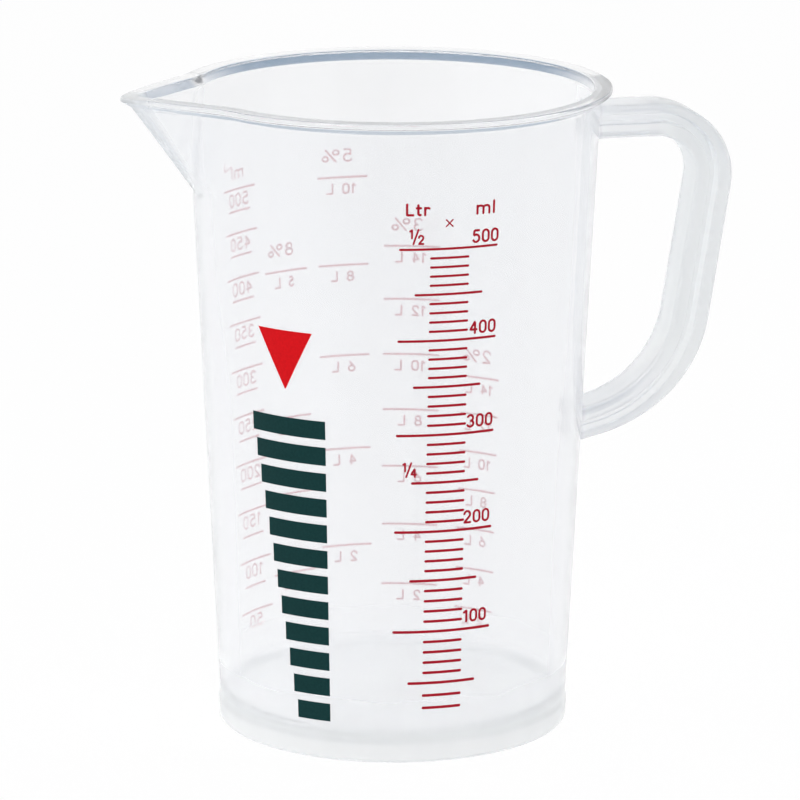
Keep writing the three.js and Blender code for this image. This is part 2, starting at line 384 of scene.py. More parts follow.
@dataclass
class Handle:
    """The closed handle: an I-section carried round a bent middle line in the plane Y = 0."""

    cup: Cup
    width: float = 10.5
    inner_strap: float = 3.1
    channel: float = 1.9
    outer_strap: float = 2.0
    grip_swell: float = 1.1
    web: float = 3.2
    strap_round: float = 0.8
    groove_round: float = 0.35
    drop: float = 9.2
    reach: float = 68.7
    grip_lean: float = 8.9
    upper_bend: float = 12.2
    lower_bend: float = 27.0
    lower_end: float = 64.0
    lower_slope: float = 12.0
    root_sink: float = 3.0
    root_flare: float = 0.15
    root_length: float = 3.0
    round_steps: int = 4
    arm_steps: int = 16
    upper_steps: int = 33
    grip_steps: int = 12
    lower_steps: int = 31

    def stations(self) -> Array:
        """Middle line of the handle.

        The heading below +X is a list of straight and evenly turning stretches. The place is
        the running sum of each chord along its mean heading.

        Returns:
            Rows of x, z, heading in radians, and how much the grip swells from 0 to 1.
        """
        cup, top = self.cup, self.cup.height - self.drop
        upper_turn = 90.0 + self.grip_lean
        lower_turn = 90.0 - self.grip_lean - self.lower_slope
        lean, slope = turn(self.grip_lean), turn(self.lower_slope)
        start = cup.wall_radius(top) - self.root_sink
        grip_top = self.upper_bend * (1.0 + np.sin(lean))
        lower_drop = self.lower_bend * (np.cos(slope) - np.sin(lean))
        grip = (top - grip_top - self.lower_end - lower_drop) / np.cos(lean)
        upper_run = self.reach - self.upper_bend - start
        end_x = (self.reach - self.upper_bend + self.upper_bend * np.cos(lean) - grip * np.sin(lean)
                 - self.lower_bend * (np.cos(lean) - np.sin(slope)))
        tail = (end_x - cup.wall_radius(self.lower_end) + self.root_sink) / np.cos(slope)
        stretches = [
            (upper_run, 0.0, 0.0, 0.0, self.arm_steps),
            (self.upper_bend * turn(upper_turn), upper_turn, 0.0, 1.0, self.upper_steps),
            (grip, 0.0, 1.0, 1.0, self.grip_steps),
            (self.lower_bend * turn(lower_turn), lower_turn, 1.0, 0.0, self.lower_steps),
            (tail, 0.0, 0.0, 0.0, self.arm_steps),
        ]
        step = np.concatenate([np.full(n, length / n) for length, _, _, _, n in stretches])
        bend = np.concatenate([np.full(n, turn(angle) / n) for _, angle, _, _, n in stretches])
        swell = np.concatenate([
            first + (last - first) * np.sin(np.linspace(1.0 / n, 1.0, n) * np.pi / 2.0) ** 2
            for _, _, first, last, n in stretches
        ])
        heading = np.concatenate([[0.0], np.cumsum(bend)])
        middle = heading[:-1] + bend / 2.0
        x = start + np.concatenate([[0.0], np.cumsum(step * np.cos(middle))])
        z = top - np.concatenate([[0.0], np.cumsum(step * np.sin(middle))])
        return np.stack([x, z, heading, np.concatenate([[0.0], swell])], -1)

    def section(self, swell: Array) -> Array:
        """I-section with every corner rounded by a quarter circle.

        Args:
            swell: How much the outer strap gains at each station, 0 to 1.

        Returns:
            Array of stations x points x 2: across the handle, and outwards from its middle.
        """
        half, web = self.width / 2.0, self.web / 2.0
        inner = -(self.inner_strap + self.channel + self.outer_strap) / 2.0
        step = inner + self.inner_strap
        ledge = step + self.channel
        outer = ledge + self.outer_strap + self.grip_swell * swell
        flat = np.ones_like(swell)
        side_x = row(half, half, web, web, half, half)
        side_y = np.stack(
            [inner * flat, step * flat, step * flat, ledge * flat, ledge * flat, outer], -1)
        x = np.broadcast_to(np.concatenate([side_x, -side_x[::-1]]), (swell.size, 12))
        corner = np.stack([x, np.concatenate([side_y, side_y[:, ::-1]], 1)], -1)
        groove = [self.groove_round] * 4
        radius = row(*[self.strap_round, *groove, self.strap_round] * 2)[None, :, None]
        before, after = np.roll(corner, 1, 1) - corner, np.roll(corner, -1, 1) - corner
        before /= np.linalg.norm(before, axis=2, keepdims=True)
        after /= np.linalg.norm(after, axis=2, keepdims=True)
        angle = turn(spaced(0.0, 90.0, self.round_steps + 1))[None, None, :, None]
        middle = (corner + radius * (before + after))[:, :, None]
        arc = middle - radius[:, :, None] * (
            after[:, :, None] * np.cos(angle) + before[:, :, None] * np.sin(angle))
        return arc.reshape(swell.size, -1, 2)

    def build(self, name: str) -> bpy.types.Object:
        """Carries the section along the stations and flares it where it meets the wall.

        Args:
            name: Name of the object.

        Returns:
            The closed handle, its ends sunk into the wall.
        """
        x, z, heading, swell = self.stations().T
        ends = np.minimum(np.hypot(x - x[0], z - z[0]), np.hypot(x - x[-1], z - z[-1]))
        near = np.clip(1.0 - (ends - self.root_sink) / self.root_length, 0.0, 1.0)
        grow = (1.0 + 2.0 * self.root_flare / self.width * near ** 2)[:, None]
        outline = self.section(swell)
        across, out = grow * outline[..., 0], grow * outline[..., 1]
        rings = np.stack([
            x[:, None] + out * np.sin(heading)[:, None],
            across,
            z[:, None] + out * np.cos(heading)[:, None],
        ], -1)
        return closed_skin(name, rings)


def srgb(code: str) -> tuple[float, float, float, float]:
    """Linear colour from an sRGB hex value such as "a01423"."""
    parts = np.array([int(code[i:i + 2], 16) for i in (0, 2, 4)]) / 255.0
    linear = np.where(parts <= 0.04045, parts / 12.92, ((parts + 0.055) / 1.055) ** 2.4)
    return (*linear.tolist(), 1.0)


def put(tree: bpy.types.NodeTree, kind: str, links: dict | None = None,
        **settings: str) -> bpy.types.Node:
    """Adds a node.

    Args:
        tree: Node tree that gets it.
        kind: Type name of the node, after the ShaderNode that each begins with.
        links: Input name or number to what feeds it, which is a socket, a node for its first
            output, or a value that is set on it.
        **settings: Properties of the node itself.

    Returns:
        The new node.
    """
    node = tree.nodes.new("ShaderNode" + kind)
    for name, value in settings.items():
        setattr(node, name, value)
    for name, value in (links or {}).items():
        if isinstance(value, bpy.types.Node):
            value = value.outputs[0]
        if isinstance(value, bpy.types.NodeSocket):
            tree.links.new(value, node.inputs[name])
        else:
            node.inputs[name].default_value = value
    return node


def fresh_material(name: str) -> tuple[bpy.types.Material, bpy.types.NodeTree]:
    """Returns a new material with an empty node tree."""
    material = bpy.data.materials.new(name)
    material.use_nodes = True
    material.node_tree.nodes.clear()
    return material, material.node_tree


@dataclass(frozen=True)
class FrostedPolypropylene:
    """Natural polypropylene, injection moulded in a polished mould.

    To the eye it is milky but still clear: part of the light passes straight through, part is
    spread by fine crystals, and the skin is glossy with a slow ripple from the mould.
    """

    milk: str = "fbfbfc"
    thick_milk: str = "f0f1f1"
    tint: str = "d5d8da"          # colour that a long way through the plastic takes
    density: float = 18.0
    shade: str = "fcfcfc"         # what each surface lets through towards a lamp
    ior: float = 1.49
    clear_roughness: float = 0.035
    wall_haze: float = 0.235      # share of the light that each surface of the thin wall spreads
    rim_haze: float = 0.06        # the rim is moulded smooth and stays clear
    arm_haze: float = 0.34
    grip_haze: float = 0.58
    foot_haze: float = 0.5
    passed_on: tuple[float, float] = (0.5, 0.95)  # of the spread light, from outside and within
    ripple_mm: float = 14.0
    ripple_depth: float = 0.6
    ripple_strength: float = 0.05
    grain_mm: float = 0.7
    grain_depth: float = 0.1
    grain_strength: float = 0.02
    streak_mm: float = 11.0
    drawn_out: float = 0.1        # streaks of haze are this much finer round the wall than up it
    streak_strength: float = 0.1

    def material(self) -> bpy.types.Material:
        """Returns the material: clear refraction mixed with spread light, over a tinted inside."""
        material, tree = fresh_material("frosted_polypropylene")
        place = put(tree, "TexCoord").outputs["Object"]
        flow = put(tree, "Mapping", {"Vector": place, "Scale": (1.0, 1.0, self.drawn_out)})
        streak, ripple, grain = (
            put(tree, "TexNoise", {"Vector": at, "Scale": 1.0 / (size * METRES), "Detail": detail})
            for at, size, detail in (
                (flow, self.streak_mm, 1.0), (place, self.ripple_mm, 1.0),
                (place, self.grain_mm, 2.0))
        )
        slow = put(tree, "Bump", {
            "Height": ripple, "Strength": self.ripple_strength,
            "Distance": self.ripple_depth * METRES})
        skin = put(tree, "Bump", {
            "Height": grain, "Strength": self.grain_strength,
            "Distance": self.grain_depth * METRES, "Normal": slow})
        clear = put(tree, "BsdfPrincipled", {
            "Base Color": srgb("ffffff"), "Roughness": self.clear_roughness, "IOR": self.ior,
            "Transmission Weight": 1.0, "Normal": slow})
        share = put(tree, "Attribute", attribute_name="haze").outputs["Fac"]
        white = put(tree, "ValToRGB", {"Fac": share})
        thin, thick = white.color_ramp.elements
        thin.position, thin.color = self.wall_haze, srgb(self.milk)
        thick.position, thick.color = self.foot_haze, srgb(self.thick_milk)
        spread = put(tree, "BsdfDiffuse", {"Color": white, "Normal": skin})
        through = put(tree, "BsdfTranslucent", {"Color": white, "Normal": skin})
        within = put(tree, "NewGeometry").outputs["Backfacing"]
        outer, inner = self.passed_on
        leave = put(tree, "MapRange", {"Value": within, "To Min": outer, "To Max": inner})
        milk = put(tree, "MixShader", {0: leave, 1: spread, 2: through})
        least, most = 1.0 - self.streak_strength, 1.0 + self.streak_strength
        uneven = put(tree, "MapRange", {"Value": streak, "To Min": least, "To Max": most})
        haze = put(tree, "Math", {0: uneven, 1: share}, operation="MULTIPLY")
        body = put(tree, "MixShader", {0: haze, 1: clear, 2: milk})
        shadow = put(tree, "LightPath").outputs["Is Shadow Ray"]
        pass_on = put(tree, "BsdfTransparent", {"Color": srgb(self.shade)})
        surface = put(tree, "MixShader", {0: shadow, 1: body, 2: pass_on})
        inside = put(tree, "VolumeAbsorption", {"Color": srgb(self.tint), "Density": self.density})
        put(tree, "OutputMaterial", {"Surface": surface, "Volume": inside})
        return material


@dataclass(frozen=True)
class ScreenInk:
    """Screen-printed ink on plastic: an even opaque film with a soft gloss and a few pinholes."""

    name: str
    colour: str
    glow: float = 0.25            # share of light that comes through the film from behind
    shine_through: str = "e0304a"
    roughness: float = 0.42
    ior: float = 1.5
    specular: float = 0.08
    speckle_mm: float = 0.5
    speckle_depth: float = 0.05
    mottle: tuple = ((0.82, 0.0), (1.15, 0.004))  # share of the colour and lift, dark and light

    def material(self) -> bpy.types.Material:
        """Returns the material: one colour, mottled a little lighter and darker."""
        material, tree = fresh_material(self.name)
        place = put(tree, "TexCoord").outputs["Object"]
        speckle = put(tree, "TexNoise", {
            "Vector": place, "Scale": 1.0 / (self.speckle_mm * METRES), "Detail": 3.0})
        ramp = put(tree, "ValToRGB", {"Fac": speckle})
        for stop, (share, lift) in zip(ramp.color_ramp.elements, self.mottle):
            mottled = np.minimum(row(*srgb(self.colour)[:3]) * share + lift, 1.0)
            stop.color = (*mottled.tolist(), 1.0)
        bump = put(tree, "Bump", {
            "Height": speckle, "Strength": 0.1, "Distance": self.speckle_depth * METRES})
        film = put(tree, "BsdfPrincipled", {
            "Base Color": ramp, "Roughness": self.roughness, "IOR": self.ior,
            "Specular IOR Level": self.specular, "Normal": bump})
        behind = put(tree, "BsdfTranslucent", {"Color": srgb(self.shine_through)})
        mix = put(tree, "MixShader", {0: self.glow, 1: film, 2: behind})
        put(tree, "OutputMaterial", {"Surface": mix})
        return material


@dataclass
class Jug:
    """The moulding: cup and handle joined into one closed mesh."""

    cup: Cup
    handle: Handle
    finish: FrostedPolypropylene = FrostedPolypropylene()
    foot_fade: tuple[float, float] = (3.0, -1.0)  # heights over the floor, from thin to foot
    rim_fade: float = 0.8
    beak_fade: float = 2.0
    tip_fade: tuple[float, float] = (11.0, 14.0)
    keel_fade: tuple[float, float] = (4.0, 2.0)   # distances from the plane of the keel
    grip_fade: tuple[float, float] = (56.0, 64.0)  # distances from the axis, from arm to grip
    crease: float = 32.0

    def joined(self, base: bpy.types.Object, other: bpy.types.Object, how: str) -> bpy.types.Object:
        """Adds or takes away one closed mesh.

        Args:
            base: Object that keeps its name.
            other: Object that is used up.
            how: UNION or DIFFERENCE.

        Returns:
            base with its new mesh.
        """
        cut = base.modifiers.new("join", "BOOLEAN")
        cut.operation, cut.object, cut.solver = how, other, "EXACT"
        graph = bpy.context.evaluated_depsgraph_get()
        mesh = bpy.data.meshes.new_from_object(base.evaluated_get(graph))
        base.modifiers.clear()
        base.data = mesh
        bpy.data.objects.remove(other)
        return base

    def mark_haze(self, body: bpy.types.Object) -> None:
        """Writes the share of the light that each point spreads to the attribute haze.

        The value goes smoothly from that of the thin wall to those of the foot, the grip, the
        beak's tip and the rim, by soft steps of the height and of the distance outside the wall.

        Args:
            body: The joined moulding.
        """
        mesh, cup = body.data, self.cup
        points = np.empty(len(mesh.vertices) * 3)
        mesh.vertices.foreach_get("co", points)
        x, y, z = (points.reshape(-1, 3) / METRES - row(AXIS_X, 0.0, 0.0)).T
        foot = soft_step(z - cup.floor_height, *self.foot_fade)
        proud = np.hypot(x, y) - cup.wall_radius(z)
        below_rim = z < cup.rim_underside - cup.bevel_foot - 0.1
        handle = soft_step(proud, cup.foot_proud, cup.foot_proud + 1.0) * (x > 0.0) * below_rim
        flange = cup.rim_overhang
        beak = soft_step(proud, flange, flange + self.beak_fade) * (x < 0.0)
        keel = soft_step(proud, 1.0, 2.0) * (x < 0.0) * soft_step(np.abs(y), *self.keel_fade)
        tip = np.maximum(beak * soft_step(proud, *self.tip_fade), keel)
        rim = soft_step(z, cup.rim_underside - self.rim_fade, cup.rim_underside) * (1.0 - beak)
        look = self.finish
        grip = look.arm_haze + (look.grip_haze - look.arm_haze) * soft_step(x, *self.grip_fade)
        haze = np.full_like(z, look.wall_haze)
        for share, value in ((rim, look.rim_haze), (tip, look.grip_haze), (handle, grip),
                             (foot, look.foot_haze)):
            haze += (value - haze) * share
        spots = mesh.attributes.new("haze", "FLOAT", "POINT")
        spots.data.foreach_set("value", haze.astype(np.float32))

    def build(self) -> bpy.types.Object:
        """Trims the handle's ends half way into the wall, joins it to the cup and dresses it."""
        handle = self.joined(self.handle.build("grip"), self.cup.hollow("hollow"), "DIFFERENCE")
        body = self.joined(self.cup.build("jug_body"), handle, "UNION")
        body.data.name = "jug_body"
        body.data.shade_smooth()
        body.data.set_sharp_from_angle(angle=turn(self.crease))
        self.mark_haze(body)
        body.data.materials.clear()
        body.data.materials.append(self.finish.material())
        weigh = body.modifiers.new("even_gloss", "WEIGHTED_NORMAL")
        weigh.keep_sharp = True
        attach(body, "root")
        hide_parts("jug")
        return body


# Strokes of the plain figures, in a cell one unit high. A run of points is a polyline. A row
# of six numbers (cx, cy, rx, ry, from, to) is an arc. Each figure ends with its width.
FIGURES: dict[str, tuple[list, float]] = {
    "0": ([[(0.29, 0.70, 0.27, 0.30, 0, 180), (0.29, 0.30, 0.27, 0.30, 180, 360),
            (0.56, 0.70)]], 0.58),
    "1": ([[(0.10, 0.80), (0.32, 0.99), (0.32, 0.0)]], 0.42),
    "2": ([[(0.29, 0.71, 0.26, 0.29, 170, -38), (0.03, 0.0), (0.57, 0.0)]], 0.60),
    "3": ([[(0.27, 0.75, 0.24, 0.25, 150, -90), (0.27, 0.26, 0.28, 0.26, 88, -150)]], 0.58),
    "4": ([[(0.44, 0.0), (0.44, 1.0), (0.02, 0.30), (0.58, 0.30)]], 0.60),
    "5": ([[(0.52, 1.0), (0.12, 1.0), (0.07, 0.56), (0.28, 0.32, 0.28, 0.32, 128, -148)]], 0.60),
    "6": ([[(0.46, 1.0), (0.06, 0.46), (0.29, 0.29, 0.27, 0.29, 150, 510)]], 0.58),
    "8": ([[(0.29, 0.76, 0.22, 0.24, -90, 270)], [(0.29, 0.27, 0.28, 0.27, 90, 450)]], 0.58),
    "%": ([[(0.24, 0.76, 0.20, 0.20, 0, 360)], [(0.98, 0.24, 0.20, 0.20, 0, 360)],
           [(0.96, 1.0), (0.26, 0.0)]], 1.22),
    "L": ([[(0.05, 1.0), (0.05, 0.0), (0.58, 0.0)]], 0.62),
    "l": ([[(0.06, 1.0), (0.06, 0.0)]], 0.12),
    "m": ([[(0.04, 0.0), (0.04, 0.66)], [(0.27, 0.46, 0.23, 0.20, 180, 0), (0.50, 0.0)],
           [(0.73, 0.46, 0.23, 0.20, 180, 0), (0.96, 0.0)]], 1.0),
    "t": ([[(0.14, 0.92), (0.14, 0.16), (0.28, 0.14, 0.14, 0.14, 190, 290)],
           [(0.0, 0.64), (0.36, 0.64)]], 0.42),
    "r": ([[(0.05, 0.66), (0.05, 0.0)], [(0.28, 0.42, 0.23, 0.23, 180, 55)]], 0.42),
    "/": ([[(0.02, 0.0), (0.36, 1.0)]], 0.38),
    "x": ([[(0.0, 0.0), (0.6, 0.6)], [(0.0, 0.6), (0.6, 0.0)]], 0.6),
    " ": ([], 0.42),
}


def stroke_points(run: list, samples: int) -> Array:
    """Evenly spaced points along one stroke of a figure.

    Args:
        run: Points and arcs of the stroke, in order.
        samples: How many points to place.

    Returns:
        Array of samples x 2. An arc is its middle plus (rx cos a, ry sin a).
    """
    parts = []
    for part in run:
        if len(part) == 2:
            parts.append(row(*part)[None])
        else:
            cx, cy, rx, ry, first, last = part
            angle = turn(np.linspace(first, last, 40))
            parts.append(np.stack([cx + rx * np.cos(angle), cy + ry * np.sin(angle)], -1))
    line = np.concatenate(parts)
    length = np.concatenate([[0.0], np.cumsum(np.linalg.norm(np.diff(line, axis=0), axis=1))])
    at = np.linspace(0.0, length[-1], samples)
    return np.stack([np.interp(at, length, line[:, 0]), np.interp(at, length, line[:, 1])], -1)


# Printed volumes in millilitres and the heights of their lines above the table.
PRINTED_ML = row(12.5, 25, 37.5, 50, 100, 150, 200, 250, 300, 350, 400, 450, 500)
PRINTED_Z = row(9.4, 12.25, 15.0, 17.75, 29.1, 40.3, 51.0, 61.65, 71.95, 82.3, 92.2, 102.05, 111.7)
FULL_ML = 500.0


def line_height(millilitres: float | Array) -> float | Array:
    """Heights of the printed lines: straight runs between the thirteen main ones."""
    return np.interp(millilitres, PRINTED_ML, PRINTED_Z)


class Anchor(Enum):
    """Which part of a word stands at its given place."""

    LEFT = 0.0
    MIDDLE = 0.5
    RIGHT = 1.0


@dataclass
class Print:
    """Screen print on the wall: strokes of ink gathered flat, then wrapped round the cup.

    A place on the wall is an angle round the axis, counted from +X towards +Y, and a height.
    Seen from outside, a larger angle lies further to the right.
    """

    cup: Cup
    ink: ScreenInk
    film: float = 0.035           # thickness of the ink
    samples: int = 22
    gap: float = 0.26             # space between figures, as a share of their height
    strokes: list[Array] = field(default_factory=list)
    widths: list[float] = field(default_factory=list)

    def line(self, angle: float, z: float, length: float, width: float) -> None:
        """Adds a level line.

        Args:
            angle: Angle of its middle.
            z: Its height.
            length: Its length along the wall.
            width: Its thickness.
        """
        s = np.linspace(-length / 2.0, length / 2.0, self.samples)
        around = angle + np.degrees(s / self.cup.wall_radius(z))
        self.strokes.append(np.stack([around, np.full_like(s, z)], -1))
        self.widths.append(width)

    def word(self, text: str, angle: float, z: float, size: float, stroke: float,
             anchor: Anchor = Anchor.MIDDLE, narrow: float = 1.0) -> None:
        """Adds figures in a row.

        Args:
            text: Figures to draw, each a key of FIGURES.
            angle: Angle of the anchor.
            z: Height of the figures' feet.
            size: Height of the figures.
            stroke: Width of the ink line.
            anchor: Part of the word that stands at the angle.
            narrow: Width of the figures as a share of their drawn width.
        """
        total = sum(FIGURES[c][1] for c in text) + self.gap * (len(text) - 1)
        pen = -total * anchor.value
        for c in text:
            runs, width = FIGURES[c]
            for run in runs:
                flat = stroke_points(run, self.samples)
                along = (flat[:, 0] + pen) * size * narrow
                around = angle + np.degrees(along / self.cup.wall_radius(z))
                self.strokes.append(np.stack([around, z + flat[:, 1] * size], -1))
                self.widths.append(stroke)
            pen += width + self.gap

    def build(self, name: str) -> bpy.types.Object:
        """Wraps all strokes round the wall at once.

        Each stroke is a flat tube: along it runs t, round it runs a. Its half width is w, and
        near both ends w * sqrt(1 - u * u) with u the distance into the end over w, for a round
        end. A point is the stroke's place, plus w cos a across it, plus film * sin a outwards.

        Args:
            name: Name of the object.

        Returns:
            The print, one closed shell for each stroke.
        """
        path = np.array(self.strokes)
        half = np.array(self.widths)[:, None] / 2.0
        radius = self.cup.wall_radius(path[..., 1])
        flat = np.stack([turn(path[..., 0]) * radius.mean(1, keepdims=True), path[..., 1]], -1)
        step = np.gradient(flat, axis=1)
        along = step / np.maximum(np.linalg.norm(step, axis=2, keepdims=True), 1e-9)
        tips = turn(row(0.0, 35.0, 65.0, 90.0))
        reach = -np.cos(tips)[None] * half
        head = flat[:, :1] + reach[:, :-1, None] * along[:, :1]
        tail = flat[:, -1:] - reach[:, :-1, None][:, ::-1] * along[:, -1:]
        lane = np.concatenate([head, flat, tail], 1)
        first, last = (np.repeat(end, tips.size - 1, 1) for end in (along[:, :1], along[:, -1:]))
        way = np.concatenate([first, along, last], 1)
        narrowing = np.sin(tips)[:-1]
        taper = np.concatenate([narrowing, np.ones(flat.shape[1]), narrowing[::-1]])
        taper = np.maximum(taper, 0.02)
        ring = turn(np.arange(8) * 45.0)
        across = np.stack([-way[..., 1], way[..., 0]], -1)
        spread = (half * taper)[..., None] * np.cos(ring)
        place = lane[:, :, None] + across[:, :, None] * spread[..., None]
        mean = radius.mean(1)[:, None, None]
        angle = place[..., 0] / mean
        z = place[..., 1]
        lift = self.film * (0.55 + 0.45 * np.sin(ring)) * np.ones_like(z)
        r = self.cup.wall_radius(z) + lift
        points = np.stack([r * np.cos(angle), r * np.sin(angle), z], -1)
        count, rows, size = points.shape[:3]
        quads = ring_quads(rows, size)[:, ::-1]
        base = (np.arange(count) * rows * size)[:, None, None]
        i = np.arange(size)
        cap_a = i[None]
        cap_b = (rows - 1) * size + i[None][:, ::-1]
        faces = [
            (quads[None] + base).reshape(-1, 4),
            (np.concatenate([cap_a, cap_b])[None] + base).reshape(-1, size),
        ]
        piece = fill(name, points.reshape(-1, 3), faces, 50.0)
        piece.data.materials.append(self.ink.material())
        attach(piece, "root")
        return piece


@dataclass
class FrontScale:
    """Ruled scale to half a litre: a line each 10 ml, longer at 50 and 100, with figures."""

    cup: Cup
    ink: ScreenInk = ScreenInk("dark_red_screen_ink", "b4182c")
    middle: float = -87.7
    long: float = 20.8
    medium: float = 14.1
    short: float = 7.9
    thick: float = 0.5
    heavier: float = 0.25         # what the lines gain in thickness towards the foot, as a share
    right: float = -73.41         # where the figures end
    figure: float = 2.45
    pen: float = 0.5
    lift: float = 1.0             # figures over their line at the top, and what that gains below
    lift_gain: float = 0.75
    words: tuple = (              # text, angle, height over the top line, size, pen and width
        ("ml", -77.4, 7.0, 2.45, 0.5, 1.2),
        ("Ltr", -96.9, 7.3, 2.25, 0.5, 1.06),
        ("x", -88.0, 4.7, 2.3, 0.3, 1.0),
    )
    fractions: tuple = (("1/2", -97.4, 500.0, 1.2), ("1/4", -98.9, 250.0, 1.4))

    def build(self) -> bpy.types.Object:
        """Lays out the scale and wraps it on."""
        sheet = Print(self.cup, self.ink)
        volumes = np.concatenate([np.arange(500, 40, -10), row(37.5, 25.0)])
        for volume, z in zip(volumes, line_height(volumes)):
            down = 1.0 - volume / FULL_ML
            length = self.medium if volume % 50 == 0 else self.short
            if volume % 100 == 0:
                length = self.long
                sheet.word(f"{volume:.0f}", self.right, z + self.lift + self.lift_gain * down,
                           self.figure, self.pen, Anchor.RIGHT, 1.02)
            sheet.line(self.middle, z, length, self.thick * (1.0 + self.heavier * down))
        for word, angle, rise, size, pen, wide in self.words:
            sheet.word(word, angle, line_height(FULL_ML) + rise, size, pen, narrow=wide)
        for word, angle, volume, rise in self.fractions:
            self.fraction(sheet, word, angle, line_height(volume) + rise)
        return sheet.build("front_scale")

    def fraction(self, sheet: Print, text: str, angle: float, z: float) -> None:
        """Adds a small fraction: one figure raised, a slanting line, one figure lowered.

        Args:
            sheet: Print that gets it.
            text: Such as 1/2.
            angle: Angle of its middle.
            z: Height of its foot.
        """
        size = 1.75
        sheet.word(text[0], angle - 1.35, z + 1.25, size, self.pen * 0.85)
        sheet.word("/", angle, z, 3.0, self.pen * 0.8)
        sheet.word(text[2], angle + 1.45, z, size, self.pen * 0.85)


@dataclass
class MixingColumn:
    """One mixing scale: a share of oil over level lines, each named by the litres of fuel."""

    share: int
    angle: float
    length: float
    litres: tuple[int, ...]


@dataclass
class BackScales:
    """Prints on the back of the wall: a small scale in millilitres and four mixing scales."""

    cup: Cup
    ink: ScreenInk = ScreenInk("dark_red_screen_ink_back", "b01844", 0.5, "ff3c70")
    ml_angle: float = 132.3
    ml_slip: float = -0.75        # the back screens sit this much low
    slip: float = -1.5
    columns: tuple[MixingColumn, ...] = (
        MixingColumn(8, 112.9, 11.3, (5, 4, 3, 2, 1)),
        MixingColumn(5, 92.6, 11.3, (10, 8, 6, 4, 2)),
        MixingColumn(3, 70.9, 12.4, (14, 12, 10, 8, 6, 4, 2)),
        MixingColumn(2, 47.2, 9.4, (14, 12, 10, 8, 6, 4, 2)),
    )
    thick: float = 0.45
    ml_lengths: tuple[float, float] = (12.0, 7.9)
    ml_drop: float = 1.1
    ml_rise: float = 1.6
    ml_wide: float = 1.25
    litre_drop: float = 1.5
    litre_nudge: float = 0.3
    litre_wide: float = 1.2
    share_rise: float = 3.5
    share_nudge: float = 1.6
    share_wide: float = 1.3
    figure: float = 2.05
    big: float = 2.6
    pen: float = 0.42

    def build(self) -> bpy.types.Object:
        """Lays out the five scales and wraps them on."""
        sheet = Print(self.cup, self.ink)
        for volume in range(500, 40, -25):
            z = line_height(volume) + self.ml_slip
            whole = volume % 50 == 0
            sheet.line(self.ml_angle, z, self.ml_lengths[not whole], self.thick)
            if whole:
                sheet.word(str(volume), self.ml_angle, z - self.ml_drop - self.big, self.big,
                           self.pen, narrow=self.ml_wide)
        sheet.word("ml", self.ml_angle, line_height(FULL_ML) + self.ml_rise, self.big, self.pen,
                   narrow=self.ml_wide)
        for column in self.columns:
            heights = line_height(np.array(column.litres) * column.share * 10.0) + self.slip
            for litres, z in zip(column.litres, heights):
                sheet.line(column.angle, z, column.length, self.thick)
                sheet.word(f"{litres} L", column.angle + self.litre_nudge,
                           z - self.litre_drop - self.figure, self.figure, self.pen,
                           narrow=self.litre_wide)
            sheet.word(f"{column.share}%", column.angle + self.share_nudge,
                       heights[0] + self.share_rise, self.big, self.pen, narrow=self.share_wide)
        return sheet.build("back_scales")


@dataclass
class LevelRamp:
    """Fill-level symbol on the left of the front: level bars that widen, under a red pointer."""

    cup: Cup
    ink: ScreenInk = ScreenInk("dark_green_screen_ink", "083434", 0.0)
    mark_ink: ScreenInk = ScreenInk("bright_red_screen_ink", "dc0814", 0.1)
    left: float = -149.5
    right: float = -123.8
    bars: int = 12
    foot: float = 8.6
    head: float = 76.0
    gap_share: float = 0.3
    narrowest: float = 0.45       # the lowest bar's share of the full width
    film: float = 0.035
    columns: int = 17
    pointer_heights: tuple[float, float] = (80.5, 93.0)
    pointer_share: float = 0.36   # half the pointer's width, as a share of the full width

    def shells(self, name: str, sides: Array, heights: Array, ink: ScreenInk) -> bpy.types.Object:
        """Flat shells of ink, each between two side lines.

        A point is at angle left + (right - left) * s and height low + (high - low) * t, with s
        and t from 0 to 1. The lower layer lies on the wall and the upper one a film outside it.

        Args:
            name: Name of the object.
            sides: Array of shells x 2 x rows: angles of each left and right side.
            heights: Array of shells x 2: lowest and highest point of each.
            ink: Its finish.

        Returns:
            The dressed object.
        """
        left, right = sides[:, 0, :, None], sides[:, 1, :, None]
        count, rows = left.shape[:2]
        low, high = heights[:, :1], heights[:, 1:]
        angle = turn(left + (right - left) * np.linspace(0.0, 1.0, self.columns))[:, None]
        z = (low + (high - low) * np.linspace(0.0, 1.0, rows))[:, None, :, None]
        r = self.cup.wall_radius(z) + self.film * row(0.1, 1.0)[:, None, None]
        x, y, z = np.broadcast_arrays(r * np.cos(angle), r * np.sin(angle), z)
        size = rows * self.columns
        grid = np.arange(size).reshape(rows, self.columns)
        edge = np.concatenate([grid[0], grid[1:, -1], grid[-1, -2::-1], grid[-2:0:-1, 0]])
        after = np.roll(edge, -1)
        sheet = ring_quads(rows, self.columns, False)
        side = np.stack([edge, after, after + size, edge + size], -1)
        shell = np.concatenate([sheet[:, ::-1], sheet + size, side])
        quads = shell + (np.arange(count) * 2 * size)[:, None, None]
        piece = fill(name, np.stack([x, y, z], -1).reshape(-1, 3), [quads.reshape(-1, 4)])
        piece.data.materials.append(ink.material())
        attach(piece, "root")
        return piece

    def build(self) -> list[bpy.types.Object]:
        """Builds the bars and the pointer over them."""
        pitch, width = (self.head - self.foot) / self.bars, self.right - self.left
        low = self.foot + np.arange(self.bars) * pitch
        left = self.right - width * np.linspace(self.narrowest, 1.0, self.bars)
        sides = np.stack([left, np.full_like(left, self.right)], -1)[..., None].repeat(2, -1)
        heights = np.stack([low, low + pitch * (1.0 - self.gap_share)], -1)
        middle = (self.left + self.right) / 2.0
        spread = width * self.pointer_share * np.linspace(0.02, 1.0, 14)
        wedge = np.stack([middle - spread, middle + spread])[None]
        return [
            self.shells("level_bars", sides, heights, self.ink),
            self.shells("level_pointer", wedge, row(*self.pointer_heights)[None], self.mark_ink),
        ]


